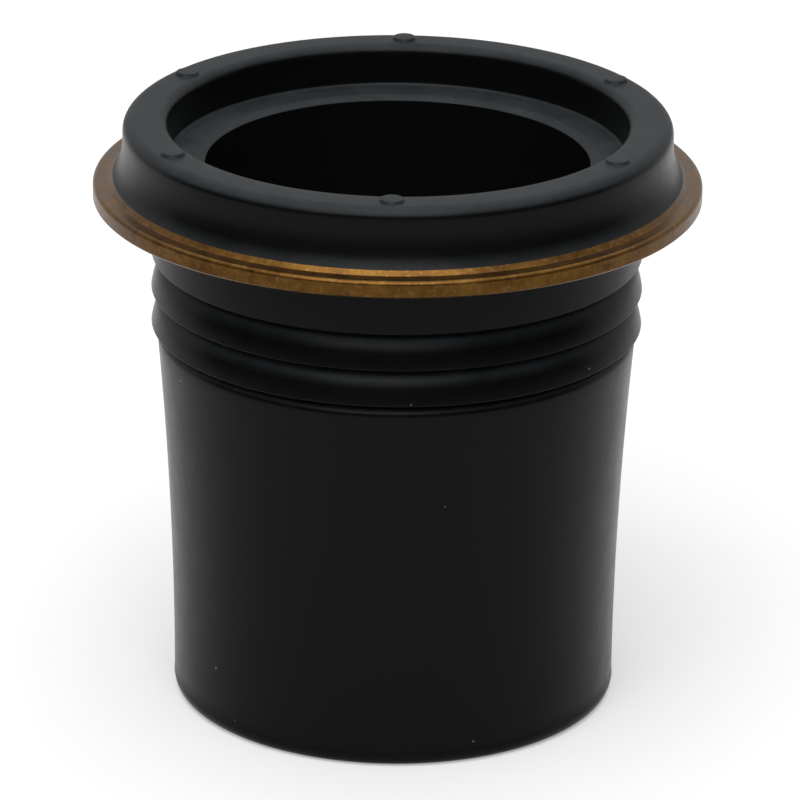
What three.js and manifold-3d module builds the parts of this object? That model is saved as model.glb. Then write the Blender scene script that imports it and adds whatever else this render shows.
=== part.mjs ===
// Pipe seal of a fuel injector: a moulded rubber sleeve bonded round the inner edge of a flange ring.
// Lengths are in millimetres. +Z runs up the seal's axis, and the foot stands on z = 0.

import * as THREE from 'three';
import { mergeVertices } from 'three/addons/utils/BufferGeometryUtils.js';
import Module from 'manifold-3d';

// Driving diameters
const boreDiameter = 30.3;
const footDiameter = 35.4;
const skirtTopDiameter = 37.9;
const grooveDiameter = 36.6;
const beadTurnDiameter = 38.2;
const beadDiameter = 38.9;
const collarDiameter = 38.84;
const headDiameter = 43.3;
const recessDiameter = 36.2;
const flangeDiameter = 48.0;
const flangeStepDiameter = 45.6;
const flangeBoreDiameter = 35.0;
const pipDiameter = 2.0;
const pipTopDiameter = 1.7;

// Driving heights and lengths, from the foot up
const skirtLength = 31.05;
const skirtUprightLength = 15.5;
const beadPitch = 2.95;
const beadTurnHeight = 2.0;
const beadCount = 2;
const collarLength = 4.65;
const flangeThickness = 1.35;
const flangeStepHeight = 0.36;
const headHeight = 4.6;
const recessDepth = 3.45;
const pipHeight = 0.25;
const pipSink = 0.15;

// Edges, rounds, small widths and clearances
const footEdgeRadius = 0.8;
const footChamfer = 0.3;
const shoulderDrop = 1.2;
const grooveFloor = 0.25;
const undercutSlope = 0.15;
const headFlareHeight = 3.0;
const headFlareTurn = 1.2;
const rimOuterRadius = 1.0;
const rimInnerRadius = 0.8;
const boreLipWidth = 0.85;
const boreLipDrop = 0.25;
const flangeShoulderRadius = 0.35;
const flangeEdgeChamfer = 0.12;
const flangeStepSlope = 0.35;
const bondClearance = 0.05;

// Counts: the pips round the rim, and how finely the round shapes are divided
const pipCount = 6;
const roundSteps = 72;
const pipSides = 16;
const curveSteps = 8;
const flareSteps = 5;
const roundOverSteps = 5;
const smallRoundSteps = 3;
const beadSteps = 6;

// Radii that follow from the diameters
const headBaseRadius = flangeStepDiameter / 2 - flangeStepSlope;
const rimFlatOuter = headDiameter / 2 - rimOuterRadius;
const rimFlatInner = recessDiameter / 2 + rimInnerRadius;
const pipCircleRadius = (rimFlatOuter + rimFlatInner) / 2;
const seatInnerRadius = collarDiameter / 2 + bondClearance;

// Heights that follow from the lengths
const beadRise = beadPitch - undercutSlope - grooveFloor;
const collarEdge = skirtLength + beadCount * beadPitch;
const flangeUnderside = collarEdge + collarLength;
const flangeLedge = flangeUnderside + flangeThickness;
const flangeStepTop = flangeLedge + flangeStepHeight;
const headTop = flangeStepTop + headHeight;
const shelfHeight = headTop - recessDepth;

const point = (radius, height) => new THREE.Vector2(radius, height);

// A quarter of an ellipse, from its point at startAngle to its point at endAngle, both in degrees.
function arc(centreRadius, centreHeight, halfWidth, halfHeight, startAngle, endAngle, steps) {
  const points = [];
  for (let i = 0; i <= steps; i += 1) {
    const angle = THREE.MathUtils.degToRad(startAngle + (endAngle - startAngle) * i / steps);
    points.push(point(
      centreRadius + halfWidth * Math.cos(angle),
      centreHeight + halfHeight * Math.sin(angle),
    ));
  }
  return points;
}

// Turns a closed section of radius and height about the Z axis into a closed solid.
function revolve(section) {
  const closed = [...section, section[0].clone()];
  const geometry = new THREE.LatheGeometry(closed, roundSteps);
  geometry.rotateX(Math.PI / 2);
  return geometry;
}

// The skirt narrows from its top to the foot along a curve that is upright in its lower half.
function skirtWall() {
  const foot = footDiameter / 2;
  const top = skirtTopDiameter / 2;
  const curve = new THREE.QuadraticBezierCurve(
    point(foot, footEdgeRadius),
    point(foot, skirtUprightLength),
    point(top, skirtLength - shoulderDrop),
  );
  return curve.getPoints(curveSteps);
}

// The skirt's outer edge rounds over into the groove below the lowest bead.
function skirtShoulder() {
  const groove = grooveDiameter / 2;
  const width = skirtTopDiameter / 2 - groove;
  const height = shoulderDrop - undercutSlope - grooveFloor;
  return arc(groove, skirtLength - shoulderDrop, width, height, 0, 90, roundOverSteps).slice(1);
}

// One bead: a sharp lower edge that undercuts the groove, and a wall that leans in more and more up to
// the next groove.
function bead(edgeHeight) {
  const groove = grooveDiameter / 2;
  const wall = new THREE.QuadraticBezierCurve(
    point(beadDiameter / 2, edgeHeight),
    point(beadTurnDiameter / 2, edgeHeight + beadTurnHeight),
    point(groove, edgeHeight + beadRise),
  );
  return [point(groove, edgeHeight - undercutSlope), ...wall.getPoints(beadSteps)];
}

function beads() {
  const points = [];
  for (let i = 0; i < beadCount; i += 1) {
    points.push(...bead(skirtLength + i * beadPitch));
  }
  return points;
}

// The collar fills the space from the top groove to the flange, and its lower edge is cut like a bead's.
function collar() {
  return [
    point(grooveDiameter / 2, collarEdge - undercutSlope),
    point(collarDiameter / 2, collarEdge),
    point(collarDiameter / 2, flangeUnderside),
  ];
}

// The slot that holds the inner edge of the flange ring.
function flangeSlot() {
  const bottom = flangeBoreDiameter / 2 - bondClearance;
  return [point(bottom, flangeUnderside), point(bottom, flangeStepTop)];
}

// The head's side narrows upward from a flared base and rounds over into the rim.
function headSide() {
  const side = headDiameter / 2;
  const flare = new THREE.QuadraticBezierCurve(
    point(headBaseRadius, flangeStepTop),
    point(side, flangeStepTop + headFlareTurn),
    point(side, flangeStepTop + headFlareHeight),
  );
  const edge = rimOuterRadius;
  return [
    ...flare.getPoints(flareSteps),
    ...arc(rimFlatOuter, headTop - edge, edge, edge, 0, 90, roundOverSteps),
  ];
}

// The recess drops from the rim to a shelf, and the shelf's inner edge slopes to the bore.
function recess() {
  const wall = recessDiameter / 2;
  const edge = rimInnerRadius;
  const bore = boreDiameter / 2;
  return [
    ...arc(rimFlatInner, headTop - edge, edge, edge, 90, 180, smallRoundSteps),
    point(wall, shelfHeight),
    point(bore + boreLipWidth, shelfHeight),
    point(bore, shelfHeight - boreLipDrop),
  ];
}

// The bore runs straight down to a small chamfer, and the foot's outer edge is rounded.
function boreAndFoot() {
  const bore = boreDiameter / 2;
  const foot = footDiameter / 2;
  const edge = footEdgeRadius;
  return [
    point(bore, footChamfer),
    point(bore + footChamfer, 0),
    ...arc(foot - edge, edge, edge, edge, 270, 360, smallRoundSteps).slice(0, -1),
  ];
}

// A low round pip that narrows to its top and stands on the rim, sunk a little so that it joins the head.
function pip(angle) {
  const length = pipHeight + pipSink;
  const geometry = new THREE.CylinderGeometry(pipTopDiameter / 2, pipDiameter / 2, length, pipSides);
  geometry.rotateX(Math.PI / 2);
  geometry.translate(
    pipCircleRadius * Math.cos(angle),
    pipCircleRadius * Math.sin(angle),
    headTop + pipHeight - length / 2,
  );
  return geometry;
}

const wasm = await Module();
wasm.setup();

function toManifold(geometry) {
  geometry.deleteAttribute('normal');
  geometry.deleteAttribute('uv');
  const merged = mergeVertices(geometry);
  return new wasm.Manifold(new wasm.Mesh({
    numProp: 3,
    vertProperties: new Float32Array(merged.attributes.position.array),
    triVerts: new Uint32Array(merged.index.array),
  }));
}

function toGeometry(solid) {
  const mesh = solid.getMesh();
  const geometry = new THREE.BufferGeometry();
  geometry.setAttribute('position', new THREE.BufferAttribute(new Float32Array(mesh.vertProperties), 3));
  geometry.setIndex(new THREE.BufferAttribute(new Uint32Array(mesh.triVerts), 1));
  geometry.computeVertexNormals();
  return geometry;
}

// The rubber sleeve: skirt, beads, collar, head, recess and bore in one moulding, with pips on the rim.
function rubberBody() {
  const section = [
    ...boreAndFoot(),
    ...skirtWall(),
    ...skirtShoulder(),
    ...beads(),
    ...collar(),
    ...flangeSlot(),
    ...headSide(),
    ...recess(),
  ];
  let solid = toManifold(revolve(section));
  for (let i = 0; i < pipCount; i += 1) {
    solid = solid.add(toManifold(pip(Math.PI * 2 * (i + 0.5) / pipCount)));
  }
  const material = new THREE.MeshStandardMaterial({ color: 0x1c1e1d, roughness: 0.55, metalness: 0.0 });
  const mesh = new THREE.Mesh(toGeometry(solid), material);
  mesh.name = 'rubber_body';
  return mesh;
}

// The flange ring: a flat ledge with a rounded outer shoulder, and a low step that the head stands on.
// Its underside is a seat from the collar outward, and lies in the rubber inside that.
function flangeRing() {
  const outer = flangeDiameter / 2;
  const step = flangeStepDiameter / 2;
  const bore = flangeBoreDiameter / 2;
  const shoulder = flangeShoulderRadius;
  const section = [
    point(bore, flangeUnderside),
    point(seatInnerRadius, flangeUnderside),
    point(outer - flangeEdgeChamfer, flangeUnderside),
    point(outer, flangeUnderside + flangeEdgeChamfer),
    ...arc(outer - shoulder, flangeLedge - shoulder, shoulder, shoulder, 0, 90, smallRoundSteps),
    point(step, flangeLedge),
    point(headBaseRadius, flangeStepTop),
    point(bore, flangeStepTop),
  ];
  const material = new THREE.MeshStandardMaterial({ color: 0x7a5a38, roughness: 0.45, metalness: 0.2 });
  const mesh = new THREE.Mesh(revolve(section), material);
  mesh.name = 'flange_ring';
  return mesh;
}

const group = new THREE.Group();
group.add(rubberBody(), flangeRing());

export default group;
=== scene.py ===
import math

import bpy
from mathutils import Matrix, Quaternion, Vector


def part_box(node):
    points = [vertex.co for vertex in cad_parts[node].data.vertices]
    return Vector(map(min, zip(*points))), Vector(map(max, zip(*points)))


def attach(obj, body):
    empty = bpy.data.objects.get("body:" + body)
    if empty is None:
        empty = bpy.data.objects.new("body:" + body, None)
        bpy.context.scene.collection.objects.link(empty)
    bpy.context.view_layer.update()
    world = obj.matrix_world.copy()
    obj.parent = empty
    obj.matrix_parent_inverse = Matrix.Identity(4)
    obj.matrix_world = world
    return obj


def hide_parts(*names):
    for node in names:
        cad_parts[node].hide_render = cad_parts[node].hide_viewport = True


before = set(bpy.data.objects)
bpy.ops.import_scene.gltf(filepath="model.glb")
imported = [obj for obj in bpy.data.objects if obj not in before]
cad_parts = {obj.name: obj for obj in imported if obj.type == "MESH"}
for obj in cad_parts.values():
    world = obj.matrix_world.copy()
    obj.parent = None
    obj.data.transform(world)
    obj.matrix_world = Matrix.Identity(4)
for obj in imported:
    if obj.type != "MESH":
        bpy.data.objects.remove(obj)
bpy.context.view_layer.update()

# Looks of the pipe seal: a moulded rubber sleeve round a coated flange ring, on a pale floor.
# Lengths are in millimetres up to the point where a mesh is made, and Blender's are in metres.

MM = 0.001
_, body_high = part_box("rubber_body")
ring_low, ring_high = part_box("flange_ring")

# Sizes that the frame gives
FLANGE_RADIUS = ring_high.x / MM
FLANGE_UNDERSIDE = ring_low.z / MM
FLANGE_STEP_TOP = ring_high.z / MM
HEAD_BASE_RADIUS = body_high.x / MM
PIP_TOP = body_high.z / MM

# Diameters of the sleeve and the ring
BORE_DIAMETER = 30.3
FOOT_DIAMETER = 35.4
SKIRT_TOP_DIAMETER = 37.9
GROOVE_DIAMETER = 36.6
BEAD_TURN_DIAMETER = 38.2
BEAD_DIAMETER = 38.9
COLLAR_DIAMETER = 38.84
HEAD_DIAMETER = 43.3
RECESS_DIAMETER = 36.2
FLANGE_BORE_DIAMETER = 35.0
PIP_DIAMETER = 2.0
PIP_TOP_DIAMETER = 1.7

# Heights and lengths
SKIRT_LENGTH = 31.05
SKIRT_UPRIGHT_LENGTH = 15.5
SHOULDER_DROP = 1.2
BEAD_PITCH = 2.95
BEAD_TURN_HEIGHT = 2.0
BEAD_COUNT = 2
UNDERCUT_SLOPE = 0.15
GROOVE_FLOOR = 0.25
FLANGE_STEP_HEIGHT = 0.36
HEAD_FLARE_HEIGHT = 3.0
HEAD_FLARE_TURN = 1.2
RECESS_DEPTH = 3.45
PIP_HEIGHT = 0.25
PIP_SINK = 0.15
PARTING_LINE_HEIGHT = 0.98

# Edges, rounds and slopes
BEAD_EDGE_RADIUS = 0.06
COLLAR_EDGE_RADIUS = 0.08
RIM_OUTER_RADIUS = 1.0
RIM_INNER_RADIUS = 0.8
RECESS_FLOOR_RADIUS = 0.3
SHELF_FALL = 0.1
LIP_WIDTH = 0.85
LIP_FALL = 0.25
LIP_EDGE_RADIUS = 0.12
FOOT_EDGE_RADIUS = 0.8
FOOT_CHAMFER = 0.3
PARTING_LINE_WIDTH = 0.16
PARTING_LINE_RISE = 0.035
PIP_EDGE_RADIUS = 0.1
PIP_FOOT_RADIUS = 0.08
FLANGE_SHOULDER_RADIUS = 0.35
FLANGE_EDGE_CHAMFER = 0.12
FLANGE_STEP_SLOPE = 0.35
FLANGE_STEP_FILLET = 0.12
BOND_CLEARANCE = 0.05

# Edges that turn by more degrees than this are shaded as sharp
SHARP_ANGLE = 32.0

# Counts
PIP_COUNT = 6
ROUND_STEPS = 288
PIP_STEPS = 40
CURVE_STEPS = 28
ARC_STEPS = 12
EDGE_STEPS = 5

# Sizes that follow
RIM_TOP = PIP_TOP - PIP_HEIGHT
SHELF_HEIGHT = RIM_TOP - RECESS_DEPTH
COLLAR_EDGE = SKIRT_LENGTH + BEAD_COUNT * BEAD_PITCH
BEAD_RISE = BEAD_PITCH - UNDERCUT_SLOPE - GROOVE_FLOOR
FLANGE_LEDGE = FLANGE_STEP_TOP - FLANGE_STEP_HEIGHT
FLANGE_STEP_RADIUS = HEAD_BASE_RADIUS + FLANGE_STEP_SLOPE
RIM_FLAT_OUTER = HEAD_DIAMETER / 2 - RIM_OUTER_RADIUS
RIM_FLAT_INNER = RECESS_DIAMETER / 2 + RIM_INNER_RADIUS
PIP_CIRCLE_RADIUS = (RIM_FLAT_OUTER + RIM_FLAT_INNER) / 2

# Rubber: its colours, the width and height of its patches and grain, and its gloss
RUBBER_BLACK = (0.0026, 0.0030, 0.0027, 1.0)
# The second colour is a lighter grey on what faces up, partly a real bloom and partly painted light from
# above
RUBBER_BLOOM_AND_PAINTED_LIGHT = (0.019, 0.022, 0.0245, 1.0)
RUBBER_PATCHES_PER_MM = 0.35
RUBBER_PATCH_DETAIL = 4.0
RUBBER_PATCH_HEIGHT = 0.02
RUBBER_GRAIN_PER_MM = 3.2
RUBBER_GRAIN_DETAIL = 3.0
RUBBER_GRAIN_HEIGHT = 0.006
RUBBER_LEAST_ROUGH = 0.26
RUBBER_MOST_ROUGH = 0.32
RUBBER_IOR = 1.5
RUBBER_SPECULAR = 0.08

# Bloom and painted light: a lighter grey, partly a real bloom and partly painted light from above,
# starts and is full where the surface's normal points up by this much, thins out in the patches and the
# grain, and makes the rubber rougher
BLOOM_AND_PAINTED_LIGHT_STARTS = 0.34
BLOOM_AND_PAINTED_LIGHT_FULL = 0.62
BLOOM_AND_PAINTED_LIGHT_THIN_PATCH = 0.55
BLOOM_AND_PAINTED_LIGHT_THIN_GRAIN = 0.8
BLOOM_AND_PAINTED_LIGHT_THICK_GRAIN = 1.1
BLOOM_ROUGHNESS = 0.18

# Dust specks on the sleeve, as (angle round the axis in degrees, height, radius). A speck is solid out
# to the first share of its radius, and fades out at the second.
DUST = (0.16, 0.17, 0.15, 1.0)
SPECK_SOLID = 0.6
SPECK_FADED = 1.2
SPECKS = [
    (-141.2, 5.34, 0.11),
    (-152.3, 28.78, 0.10),
    (-37.9, 31.6, 0.09),
    (-76.5, 22.25, 0.06),
    (-67.7, 1.75, 0.08),
    (-133.7, 1.58, 0.06),
    (-85.2, 31.25, 0.06),
]

# Brown coat of the ring: its colours, where in the noise each one shows, and its gloss
COAT_BROWN = (0.110, 0.052, 0.0075, 1.0)
COAT_DARK = (0.060, 0.024, 0.0030, 1.0)
COAT_PALE = (0.17, 0.095, 0.032, 1.0)
COAT_PATCHES_PER_MM = 0.5
COAT_PATCH_DETAIL = 4.0
COAT_PATCH_ROUGHNESS = 0.6
COAT_GRAIN_PER_MM = 2.6
COAT_GRAIN_DETAIL = 2.0
COAT_GRAIN_HEIGHT = 0.012
COAT_DARK_BELOW = 0.35
COAT_BROWN_ABOVE = 0.62
COAT_PALE_STARTS = 0.52
COAT_PALE_FULL = 0.75
COAT_PALE_SHARE = 0.6
COAT_LEAST_ROUGH = 0.28
COAT_MOST_ROUGH = 0.4
COAT_IOR = 1.5
COAT_METALLIC = 0.88

# Most of a noise pattern's values lie between these two
NOISE_LOW = 0.3
NOISE_HIGH = 0.7

# Camera at the photograph's viewing angle. Its distance, aim and lens were fitted to the seal's outline.
# Angles are in degrees, and the aim is a point beside the seal's axis.
CAMERA_DISTANCE = 502.0
CAMERA_ELEVATION = 21.32
CAMERA_AZIMUTH = 1.2
CAMERA_ROLL = 0.56
CAMERA_SIDESTEP = 0.35
AIM_HEIGHT = 24.08
LENS = 282.9
SENSOR_WIDTH = 36.0
CLIP_START = 10.0
CLIP_END = 10000.0

# Floor, which lies a little below the foot
FLOOR_RADIUS = 1500.0
FLOOR_DROP = 0.02
FLOOR_STEPS = 96
FLOOR_COLOUR = (0.5, 0.5, 0.5, 1.0)
FLOOR_GLOW = 0.33

# Square lights, with their power in watts
SOFTBOX_SIZE = 550.0
SOFTBOX_POWER = 1.5
SOFTBOX_PLACE = (0.0, 120.0, 520.0)
FRONT_LIGHT_SIZE = 620.0
FRONT_LIGHT_POWER = 4.8
FRONT_LIGHT_PLACE = (-60.0, -380.0, 590.0)

# World: its strength near the horizon and overhead, and the sines of the elevations between which it
# changes from one to the other
WORLD_LOW = 0.2
WORLD_HIGH = 1.0
DARK_BELOW = 0.45
LIGHT_ABOVE = 0.72

# Dark card, which stands round the front as part of a cylinder
CARD_COLOUR = (0.02, 0.02, 0.02, 1.0)
CARD_DISTANCE = 700.0
CARD_HALF_ANGLE = 100.0
CARD_TOP = 480.0
CARD_STEPS = 24


# Outlines, as lists of (radius, height)

def arc(centre, half_width, half_height, start, end, steps):
    """Part of an ellipse, from the angle start to the angle end in degrees."""
    points = []
    for i in range(steps + 1):
        angle = math.radians(start + (end - start) * i / steps)
        radius = centre[0] + half_width * math.cos(angle)
        height = centre[1] + half_height * math.sin(angle)
        points.append((radius, height))
    return points


def bezier(start, turn, end, steps):
    """A curve from start to end that leaves and arrives along the lines through turn."""
    points = []
    for i in range(steps + 1):
        t = i / steps
        shares = ((1 - t) ** 2, 2 * t * (1 - t), t * t)
        points.append(tuple(
            shares[0] * start[k] + shares[1] * turn[k] + shares[2] * end[k] for k in range(2)
        ))
    return points


def rounded(before, corner, after, radius, steps=EDGE_STEPS):
    """The points of an arc that rounds a corner between two straight stretches."""
    corner_point = Vector(corner)
    back = (Vector(before) - corner_point).normalized()
    ahead = (Vector(after) - corner_point).normalized()
    half_angle = back.angle(ahead) / 2
    reach = radius / math.tan(half_angle)
    centre = corner_point + (back + ahead).normalized() * radius / math.sin(half_angle)
    start = corner_point + back * reach - centre
    turn = start.angle_signed(corner_point + ahead * reach - centre)
    points = []
    for i in range(steps + 1):
        angle = -turn * i / steps
        arm = Vector((
            start.x * math.cos(angle) - start.y * math.sin(angle),
            start.x * math.sin(angle) + start.y * math.cos(angle),
        ))
        points.append(tuple(centre + arm))
    return points


def foot_outline():
    """From the bore's lower end, round the foot's outer edge and over the parting line."""
    bore = BORE_DIAMETER / 2
    foot = FOOT_DIAMETER / 2
    edge = FOOT_EDGE_RADIUS
    line = PARTING_LINE_HEIGHT
    half_line = PARTING_LINE_WIDTH / 2
    return [
        (bore, FOOT_CHAMFER),
        (bore + FOOT_CHAMFER, 0.0),
        *arc((foot - edge, edge), edge, edge, 270, 360, ARC_STEPS),
        (foot, line - half_line),
        (foot + PARTING_LINE_RISE, line - half_line / 2),
        (foot + PARTING_LINE_RISE, line),
    ]


def skirt_outline():
    """The skirt's wall, upright below and flaring to its top, and the round shoulder into the groove."""
    foot = FOOT_DIAMETER / 2
    top = SKIRT_TOP_DIAMETER / 2
    groove = GROOVE_DIAMETER / 2
    shoulder_start = SKIRT_LENGTH - SHOULDER_DROP
    wall = bezier(
        (foot, PARTING_LINE_HEIGHT + PARTING_LINE_WIDTH / 2),
        (foot, SKIRT_UPRIGHT_LENGTH),
        (top, shoulder_start),
        CURVE_STEPS,
    )
    height = SHOULDER_DROP - UNDERCUT_SLOPE - GROOVE_FLOOR
    shoulder = arc((groove, shoulder_start), top - groove, height, 0, 90, ARC_STEPS)
    return wall + shoulder[1:]


def bead_outline(edge_height):
    """One bead: an undercut, a nearly sharp lower edge, and a wall that leans in to the groove."""
    groove = GROOVE_DIAMETER / 2
    inner = (groove, edge_height - UNDERCUT_SLOPE)
    corner = (BEAD_DIAMETER / 2, edge_height)
    turn = (BEAD_TURN_DIAMETER / 2, edge_height + BEAD_TURN_HEIGHT)
    wall = bezier(corner, turn, (groove, edge_height + BEAD_RISE), CURVE_STEPS)
    edge = rounded(inner, corner, turn, BEAD_EDGE_RADIUS)
    return [inner] + edge + [p for p in wall if p[1] > edge[-1][1]]


def beads_outline():
    points = []
    for i in range(BEAD_COUNT):
        points += bead_outline(SKIRT_LENGTH + i * BEAD_PITCH)
    return points


def collar_outline():
    """The collar's undercut edge and wall, up to the flange ring, and the slot that holds the ring."""
    groove = GROOVE_DIAMETER / 2
    wall = COLLAR_DIAMETER / 2
    slot = FLANGE_BORE_DIAMETER / 2 - BOND_CLEARANCE
    inner = (groove, COLLAR_EDGE - UNDERCUT_SLOPE)
    top = (wall, FLANGE_UNDERSIDE)
    return [
        inner,
        *rounded(inner, (wall, COLLAR_EDGE), top, COLLAR_EDGE_RADIUS),
        top,
        (slot, FLANGE_UNDERSIDE),
        (slot, FLANGE_STEP_TOP),
    ]


def head_outline():
    """The head's side, flared at its base, and the round outer edge of the rim."""
    side = HEAD_DIAMETER / 2
    flare = bezier(
        (HEAD_BASE_RADIUS, FLANGE_STEP_TOP),
        (side, FLANGE_STEP_TOP + HEAD_FLARE_TURN),
        (side, FLANGE_STEP_TOP + HEAD_FLARE_HEIGHT),
        CURVE_STEPS,
    )
    edge = RIM_OUTER_RADIUS
    return flare + arc((RIM_FLAT_OUTER, RIM_TOP - edge), edge, edge, 0, 90, ARC_STEPS)


def recess_outline():
    """The rim's inner edge, the recess wall, the shelf and the lip that slopes into the bore."""
    wall = RECESS_DIAMETER / 2
    bore = BORE_DIAMETER / 2
    edge = RIM_INNER_RADIUS
    lip = (bore + LIP_WIDTH, SHELF_HEIGHT)
    shelf_edge = (wall, SHELF_HEIGHT + SHELF_FALL)
    mouth = (bore, SHELF_HEIGHT - LIP_FALL)
    return [
        *arc((RIM_FLAT_INNER, RIM_TOP - edge), edge, edge, 90, 180, ARC_STEPS),
        *rounded((wall, RIM_TOP), shelf_edge, lip, RECESS_FLOOR_RADIUS),
        *rounded(shelf_edge, lip, mouth, LIP_EDGE_RADIUS),
        *rounded(lip, mouth, (bore, 0.0), LIP_EDGE_RADIUS),
    ]


def sleeve_outline():
    return (
        foot_outline()
        + skirt_outline()
        + beads_outline()
        + collar_outline()
        + head_outline()
        + recess_outline()
    )


def ring_outline():
    """The flange ring: a seat below, a rounded shoulder, a flat ledge and a low step under the head."""
    bore = FLANGE_BORE_DIAMETER / 2
    shoulder = FLANGE_SHOULDER_RADIUS
    chamfer = FLANGE_EDGE_CHAMFER
    ledge = (FLANGE_RADIUS - shoulder, FLANGE_LEDGE)
    step_foot = (FLANGE_STEP_RADIUS, FLANGE_LEDGE)
    step_top = (HEAD_BASE_RADIUS, FLANGE_STEP_TOP)
    return [
        (bore, FLANGE_UNDERSIDE),
        (FLANGE_RADIUS - chamfer, FLANGE_UNDERSIDE),
        (FLANGE_RADIUS, FLANGE_UNDERSIDE + chamfer),
        *arc((FLANGE_RADIUS - shoulder, FLANGE_LEDGE - shoulder), shoulder, shoulder, 0, 90, ARC_STEPS),
        *rounded(ledge, step_foot, step_top, FLANGE_STEP_FILLET),
        step_top,
        (bore, FLANGE_STEP_TOP),
    ]


def pip_outline():
    """A pip's side from its top centre down to the centre of its sunk end, as seen from one side."""
    centre = (0.0, PIP_HEIGHT)
    shoulder = (PIP_TOP_DIAMETER / 2, PIP_HEIGHT)
    foot = (PIP_DIAMETER / 2, 0.0)
    apron = (PIP_DIAMETER / 2 + PIP_FOOT_RADIUS, 0.0)
    side = [
        centre,
        *rounded(centre, shoulder, foot, PIP_EDGE_RADIUS),
        *rounded(shoulder, foot, apron, PIP_FOOT_RADIUS),
        (PIP_DIAMETER / 2 + PIP_FOOT_RADIUS, -PIP_SINK),
        (0.0, -PIP_SINK),
    ]
    return side[::-1]


# Meshes

def mesh_object(name, vertices, faces):
    mesh = bpy.data.meshes.new(name)
    mesh.from_pydata([tuple(MM * c for c in v) for v in vertices], [], faces)
    mesh.validate()
    made = bpy.data.objects.new(name, mesh)
    bpy.context.scene.collection.objects.link(made)
    return made


def turned(name, outline, steps=ROUND_STEPS):
    """Turns an outline that closes on itself about the Z axis."""
    count = len(outline)
    vertices = []
    for i in range(steps):
        angle = 2 * math.pi * i / steps
        vertices += [(r * math.cos(angle), r * math.sin(angle), z) for r, z in outline]
    faces = []
    for i in range(steps):
        here = i * count
        there = (i + 1) % steps * count
        for j in range(count):
            k = (j + 1) % count
            faces.append((here + j, there + j, there + k, here + k))
    return mesh_object(name, vertices, faces)


def pip_parts(outline, centre, base, first):
    """The vertices and faces of one pip, whose outline starts and ends on its own axis."""
    x, y = centre
    side = outline[1:-1]
    count = len(side)
    vertices = [(x, y, base + outline[0][1]), (x, y, base + outline[-1][1])]
    for i in range(PIP_STEPS):
        angle = 2 * math.pi * i / PIP_STEPS
        for r, z in side:
            vertices.append((x + r * math.cos(angle), y + r * math.sin(angle), base + z))
    faces = []
    for i in range(PIP_STEPS):
        here = first + 2 + i * count
        there = first + 2 + (i + 1) % PIP_STEPS * count
        faces.append((first, there, here))
        faces.append((first + 1, here + count - 1, there + count - 1))
        for j in range(count - 1):
            faces.append((here + j, there + j, there + j + 1, here + j + 1))
    return vertices, faces


def pips():
    """All the pips as one mesh object, evenly round the rim."""
    outline = pip_outline()
    vertices = []
    faces = []
    for i in range(PIP_COUNT):
        angle = 2 * math.pi * (i + 0.5) / PIP_COUNT
        centre = (PIP_CIRCLE_RADIUS * math.cos(angle), PIP_CIRCLE_RADIUS * math.sin(angle))
        new_vertices, new_faces = pip_parts(outline, centre, RIM_TOP, len(vertices))
        vertices += new_vertices
        faces += new_faces
    return mesh_object("pips", vertices, faces)


def join_solids(base, addition):
    """Joins addition to base as one closed body, and deletes addition."""
    joint = base.modifiers.new("join", "BOOLEAN")
    joint.operation = "UNION"
    joint.solver = "EXACT"
    joint.object = addition
    graph = bpy.context.evaluated_depsgraph_get()
    joined = bpy.data.meshes.new_from_object(base.evaluated_get(graph))
    base.modifiers.clear()
    base.data = joined
    bpy.data.objects.remove(addition)


def smooth(piece):
    for polygon in piece.data.polygons:
        polygon.use_smooth = True
    piece.data.set_sharp_from_angle(angle=math.radians(SHARP_ANGLE))


# Materials

class Graph:
    """A material's or the world's node tree, with short calls to add and join nodes."""

    def __init__(self, owner):
        owner.use_nodes = True
        self.tree = owner.node_tree
        self.tree.nodes.clear()

    def add(self, kind, settings=None, **inputs):
        node = self.tree.nodes.new(kind)
        for key, value in (settings or {}).items():
            setattr(node, key, value)
        for key, value in inputs.items():
            self.put(node, key.replace("_", " "), value)
        return node

    def put(self, node, key, value):
        socket = node.inputs[key]
        if isinstance(value, bpy.types.NodeSocket):
            self.tree.links.new(value, socket)
        else:
            socket.default_value = value

    def math(self, operation, first, second=0.0):
        node = self.tree.nodes.new("ShaderNodeMath")
        node.operation = operation
        self.put(node, 0, first)
        self.put(node, 1, second)
        return node.outputs[0]

    def noise(self, place, count_per_mm, detail, roughness=0.55):
        """A noise pattern with about that many features to the millimetre."""
        node = self.add(
            "ShaderNodeTexNoise",
            Vector=place, Scale=count_per_mm / MM, Detail=detail, Roughness=roughness,
        )
        return node.outputs[0]

    def spread(self, value, low, high, to_low=0.0, to_high=1.0):
        """The value's stretch from low to high, mapped to a new stretch and held at its ends."""
        node = self.add(
            "ShaderNodeMapRange",
            Value=value, From_Min=low, From_Max=high, To_Min=to_low, To_Max=to_high,
        )
        return node.outputs[0]

    def blend(self, share, first, second):
        """The colour first where share is 0, and second where it is 1.

        The node's colours are its inputs 6 and 7, and its output 2.
        """
        node = self.tree.nodes.new("ShaderNodeMix")
        node.data_type = "RGBA"
        self.put(node, 0, share)
        self.put(node, 6, first)
        self.put(node, 7, second)
        return node.outputs[2]

    def bump(self, height, distance, normal=None):
        """distance is the height in millimetres of a value of 1."""
        node = self.add("ShaderNodeBump", Height=height, Distance=distance * MM, Strength=1.0)
        if normal is not None:
            self.put(node, "Normal", normal)
        return node.outputs[0]


def wall_radius_at(height):
    """The outer radius of the skirt or a bead at a height."""
    outline = skirt_outline() + beads_outline()
    nearest = min(outline, key=lambda p: abs(p[1] - height))
    return nearest[0]


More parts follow.
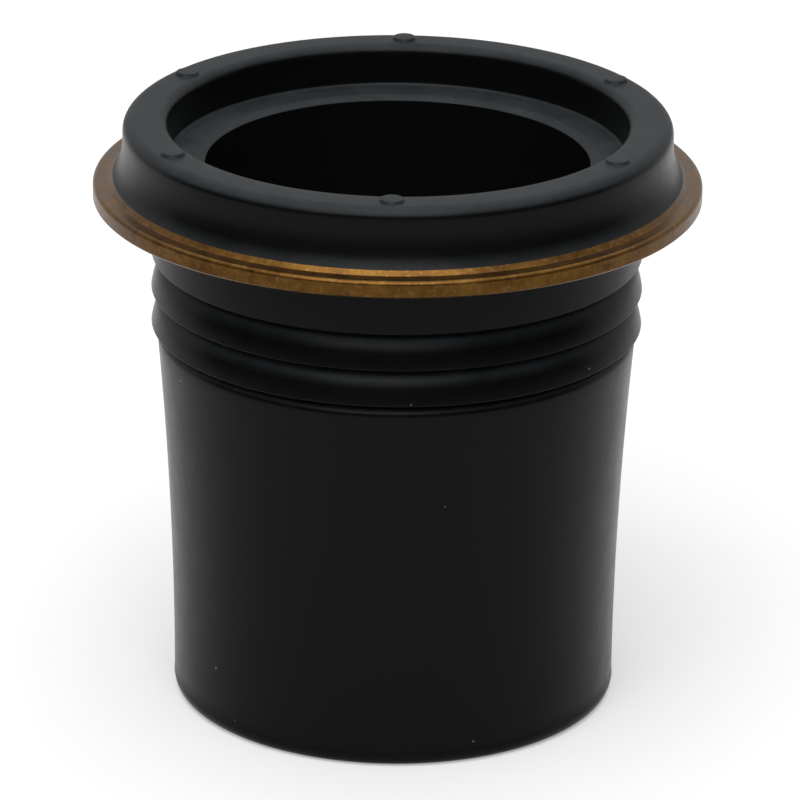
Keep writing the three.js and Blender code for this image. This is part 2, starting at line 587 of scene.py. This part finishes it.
def specks_mask(graph, place):
    """1 inside each dust speck, and 0 elsewhere."""
    total = 0.0
    for angle, height, radius in SPECKS:
        turn = math.radians(angle)
        wall = wall_radius_at(height)
        centre = (wall * math.cos(turn) * MM, wall * math.sin(turn) * MM, height * MM)
        offset = graph.add("ShaderNodeVectorMath", {"operation": "DISTANCE"})
        graph.put(offset, 0, place)
        graph.put(offset, 1, centre)
        solid = SPECK_SOLID * radius * MM
        faded = SPECK_FADED * radius * MM
        inside = graph.spread(offset.outputs["Value"], solid, faded, 1.0, 0.0)
        total = graph.math("MAXIMUM", inside, total)
    return total


def rubber_material():
    """Moulded rubber: black and satin, with a grey that is partly a bloom and partly painted light, and
    a matter grain, on what faces up.
    """
    material = bpy.data.materials.new("moulded_rubber")
    graph = Graph(material)
    place = graph.add("ShaderNodeTexCoord").outputs["Object"]
    normal = graph.add("ShaderNodeNewGeometry").outputs["Normal"]
    upward = graph.add("ShaderNodeSeparateXYZ", Vector=normal).outputs["Z"]
    patches = graph.noise(place, RUBBER_PATCHES_PER_MM, RUBBER_PATCH_DETAIL)
    grain = graph.noise(place, RUBBER_GRAIN_PER_MM, RUBBER_GRAIN_DETAIL)

    facing_up = graph.spread(upward, BLOOM_AND_PAINTED_LIGHT_STARTS, BLOOM_AND_PAINTED_LIGHT_FULL)
    by_patch = graph.spread(patches, NOISE_LOW, NOISE_HIGH, BLOOM_AND_PAINTED_LIGHT_THIN_PATCH, 1.0)
    by_grain = graph.spread(grain, NOISE_LOW, NOISE_HIGH, BLOOM_AND_PAINTED_LIGHT_THIN_GRAIN, BLOOM_AND_PAINTED_LIGHT_THICK_GRAIN)
    # Painted light: the rubber is lighter grey where its surface faces up, partly a real bloom and
    # partly painted light from above
    bloom_and_painted_light = graph.math("MULTIPLY", graph.math("MULTIPLY", facing_up, by_patch), by_grain)
    colour = graph.blend(bloom_and_painted_light, RUBBER_BLACK, RUBBER_BLOOM_AND_PAINTED_LIGHT)
    colour = graph.blend(specks_mask(graph, place), colour, DUST)

    moulded = graph.spread(patches, NOISE_LOW, NOISE_HIGH, RUBBER_LEAST_ROUGH, RUBBER_MOST_ROUGH)
    roughness = graph.math("ADD", moulded, graph.math("MULTIPLY", facing_up, BLOOM_ROUGHNESS))

    fine = graph.bump(grain, RUBBER_GRAIN_HEIGHT)
    broad = graph.bump(patches, RUBBER_PATCH_HEIGHT, fine)
    shader = graph.add("ShaderNodeBsdfPrincipled", Base_Color=colour, Roughness=roughness, Normal=broad)
    shader.inputs["IOR"].default_value = RUBBER_IOR
    shader.inputs["Specular IOR Level"].default_value = RUBBER_SPECULAR
    graph.add("ShaderNodeOutputMaterial", Surface=shader.outputs[0])
    return material


def coated_steel_material():
    """Steel under a brown bonding coat that lies unevenly and shines a little."""
    material = bpy.data.materials.new("coated_steel")
    graph = Graph(material)
    place = graph.add("ShaderNodeTexCoord").outputs["Object"]
    patches = graph.noise(place, COAT_PATCHES_PER_MM, COAT_PATCH_DETAIL, COAT_PATCH_ROUGHNESS)
    grain = graph.noise(place, COAT_GRAIN_PER_MM, COAT_GRAIN_DETAIL)

    brown = graph.spread(patches, COAT_DARK_BELOW, COAT_BROWN_ABOVE)
    pale = graph.spread(grain, COAT_PALE_STARTS, COAT_PALE_FULL, 0.0, COAT_PALE_SHARE)
    colour = graph.blend(pale, graph.blend(brown, COAT_DARK, COAT_BROWN), COAT_PALE)
    roughness = graph.spread(patches, NOISE_LOW, NOISE_HIGH, COAT_LEAST_ROUGH, COAT_MOST_ROUGH)
    uneven = graph.bump(grain, COAT_GRAIN_HEIGHT)
    shader = graph.add("ShaderNodeBsdfPrincipled", Base_Color=colour, Roughness=roughness, Normal=uneven)
    shader.inputs["IOR"].default_value = COAT_IOR
    shader.inputs["Metallic"].default_value = COAT_METALLIC
    graph.add("ShaderNodeOutputMaterial", Surface=shader.outputs[0])
    return material


# Stage, lights and camera

def seen_directly(graph):
    """1 for rays from the camera, from gloss and through glass, and 0 for the rest."""
    path = graph.add("ShaderNodeLightPath").outputs
    either = graph.math("MAXIMUM", path["Is Camera Ray"], path["Is Glossy Ray"])
    return graph.math("MAXIMUM", either, path["Is Transmission Ray"])


def floor_material():
    """A pale floor that keeps the seal's shadow, with a glow that lifts the rest of it to white."""
    material = bpy.data.materials.new("pale_floor")
    graph = Graph(material)
    diffuse = graph.add("ShaderNodeBsdfDiffuse", Color=FLOOR_COLOUR)
    strength = graph.math("MULTIPLY", seen_directly(graph), FLOOR_GLOW)
    glow = graph.add("ShaderNodeEmission", Strength=strength)
    both = graph.add("ShaderNodeAddShader")
    graph.put(both, 0, diffuse.outputs[0])
    graph.put(both, 1, glow.outputs[0])
    graph.add("ShaderNodeOutputMaterial", Surface=both.outputs[0])
    return material


def make_floor():
    vertices = [(0.0, 0.0, -FLOOR_DROP)]
    for i in range(FLOOR_STEPS):
        angle = 2 * math.pi * i / FLOOR_STEPS
        vertices.append((FLOOR_RADIUS * math.cos(angle), FLOOR_RADIUS * math.sin(angle), -FLOOR_DROP))
    faces = [(0, i + 1, (i + 1) % FLOOR_STEPS + 1) for i in range(FLOOR_STEPS)]
    floor = mesh_object("floor", vertices, faces)
    floor.data.materials.append(floor_material())


def make_world():
    """A background that looks white, and lights the seal as a room that is dim near the horizon."""
    world = bpy.data.worlds.new("soft_room")
    bpy.context.scene.world = world
    graph = Graph(world)
    direction = graph.add("ShaderNodeTexCoord").outputs["Generated"]
    upward = graph.add("ShaderNodeSeparateXYZ", Vector=direction).outputs["Z"]
    light = graph.spread(upward, DARK_BELOW, LIGHT_ABOVE, WORLD_LOW, WORLD_HIGH)
    strength = graph.math("MAXIMUM", seen_directly(graph), light)
    background = graph.add("ShaderNodeBackground", Strength=strength)
    graph.add("ShaderNodeOutputWorld", Surface=background.outputs[0])


def make_card():
    """A dark card, unseen by the camera, that the rubber's walls reflect."""
    vertices = []
    for i in range(CARD_STEPS + 1):
        angle = math.radians(CARD_HALF_ANGLE * (2 * i / CARD_STEPS - 1))
        x = CARD_DISTANCE * math.sin(angle)
        y = -CARD_DISTANCE * math.cos(angle)
        vertices += [(x, y, 0.0), (x, y, CARD_TOP)]
    faces = [(2 * i, 2 * i + 2, 2 * i + 3, 2 * i + 1) for i in range(CARD_STEPS)]
    card = mesh_object("dark_card", vertices, faces)
    material = bpy.data.materials.new("dark_card")
    graph = Graph(material)
    diffuse = graph.add("ShaderNodeBsdfDiffuse", Color=CARD_COLOUR)
    graph.add("ShaderNodeOutputMaterial", Surface=diffuse.outputs[0])
    card.data.materials.append(material)
    card.visible_camera = False


def make_area_light(name, size, power, place):
    """A square light that points at the middle of the rim."""
    light = bpy.data.lights.new(name, "AREA")
    light.shape = "SQUARE"
    light.size = size * MM
    light.energy = power
    lamp = bpy.data.objects.new(name, light)
    lamp.location = Vector(place) * MM
    aim = Vector((0.0, 0.0, RIM_TOP)) * MM - lamp.location
    lamp.rotation_euler = aim.to_track_quat("-Z", "Y").to_euler()
    bpy.context.scene.collection.objects.link(lamp)


def make_camera():
    azimuth = math.radians(CAMERA_AZIMUTH)
    elevation = math.radians(CAMERA_ELEVATION)
    back = Vector((
        math.sin(azimuth) * math.cos(elevation),
        -math.cos(azimuth) * math.cos(elevation),
        math.sin(elevation),
    ))
    sideways = Vector((math.cos(azimuth), math.sin(azimuth), 0.0))
    aim = Vector((0.0, 0.0, AIM_HEIGHT)) + sideways * CAMERA_SIDESTEP
    camera_data = bpy.data.cameras.new("camera")
    camera_data.lens = LENS
    camera_data.sensor_width = SENSOR_WIDTH
    camera_data.clip_start = CLIP_START * MM
    camera_data.clip_end = CLIP_END * MM
    camera = bpy.data.objects.new("camera", camera_data)
    camera.location = (aim + back * CAMERA_DISTANCE) * MM
    roll = Quaternion((0.0, 0.0, 1.0), math.radians(CAMERA_ROLL))
    camera.rotation_mode = "QUATERNION"
    camera.rotation_quaternion = (-back).to_track_quat("-Z", "Y") @ roll
    bpy.context.scene.collection.objects.link(camera)
    bpy.context.scene.camera = camera


# The seal

def make_sleeve():
    sleeve = turned("moulded_sleeve", sleeve_outline())
    join_solids(sleeve, pips())
    smooth(sleeve)
    sleeve.data.materials.clear()
    sleeve.data.materials.append(rubber_material())
    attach(sleeve, "root")
    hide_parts("rubber_body")


def make_ring():
    ring = turned("coated_ring", ring_outline())
    smooth(ring)
    ring.data.materials.append(coated_steel_material())
    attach(ring, "root")
    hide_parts("flange_ring")


make_camera()
make_world()
make_area_light("softbox", SOFTBOX_SIZE, SOFTBOX_POWER, SOFTBOX_PLACE)
make_area_light("front_light", FRONT_LIGHT_SIZE, FRONT_LIGHT_POWER, FRONT_LIGHT_PLACE)
make_card()
make_floor()
make_sleeve()
make_ring()
bpy.context.scene.view_settings.view_transform = "Standard"
